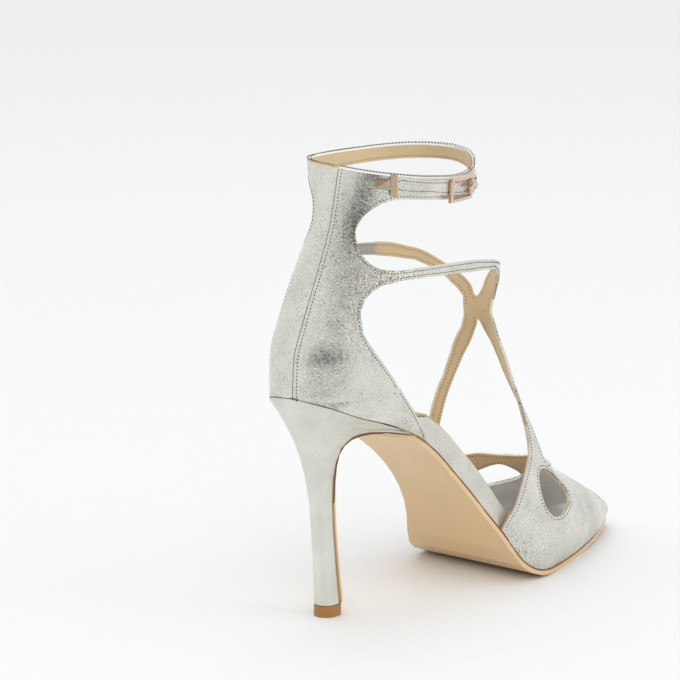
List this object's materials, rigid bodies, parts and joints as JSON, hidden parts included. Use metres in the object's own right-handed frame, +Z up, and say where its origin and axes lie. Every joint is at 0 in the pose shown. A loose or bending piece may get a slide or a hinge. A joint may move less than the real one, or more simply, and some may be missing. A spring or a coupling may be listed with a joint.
{
  "type": "strappy heeled sandal",
  "caption": "Right strappy sandal on a slim stiletto heel, with a closed heel cup, crossed instep straps, a cut-out vamp, a peep toe and a buckled ankle strap.",
  "frame": {"origin": "centre of the toplift's bottom face, on the floor under the heel", "axes": "+Y forward to the toe, +X to the outer (lateral) side of this right shoe, +Z up"},
  "size_m": [0.079, 0.223, 0.1931],
  "materials": {
    "silver_leather": "crackled metallic silver foil leather",
    "silver_strap_end": "crackled metallic silver foil leather",
    "elastic_web": "ribbed grey elastic",
    "buckle_metal": "polished rose gold",
    "prong_metal": "polished rose gold",
    "keeper_metal": "polished pale gold",
    "tan_footbed": "smooth tan lining leather",
    "silver_footbed": "smooth pale silver leather",
    "silver_board": "silver foil leather wrapped on the board",
    "tan_outsole": "smooth tan sole leather",
    "silver_heel": "silver foil leather stretched on the heel",
    "toplift_rubber": "brown moulded rubber"
  },
  "bodies": {
    "root": {"upper": "silver_leather", "strap_end": "silver_strap_end", "elastic_gusset": "elastic_web", "buckle_frame": "buckle_metal", "buckle_prong": "prong_metal", "keeper": "keeper_metal", "footbed_rear": "tan_footbed", "footbed_front": "silver_footbed", "insole_board": "silver_board", "outsole": "tan_outsole", "heel": "silver_heel", "toplift": "toplift_rubber"}
  },
  "joints": []
}
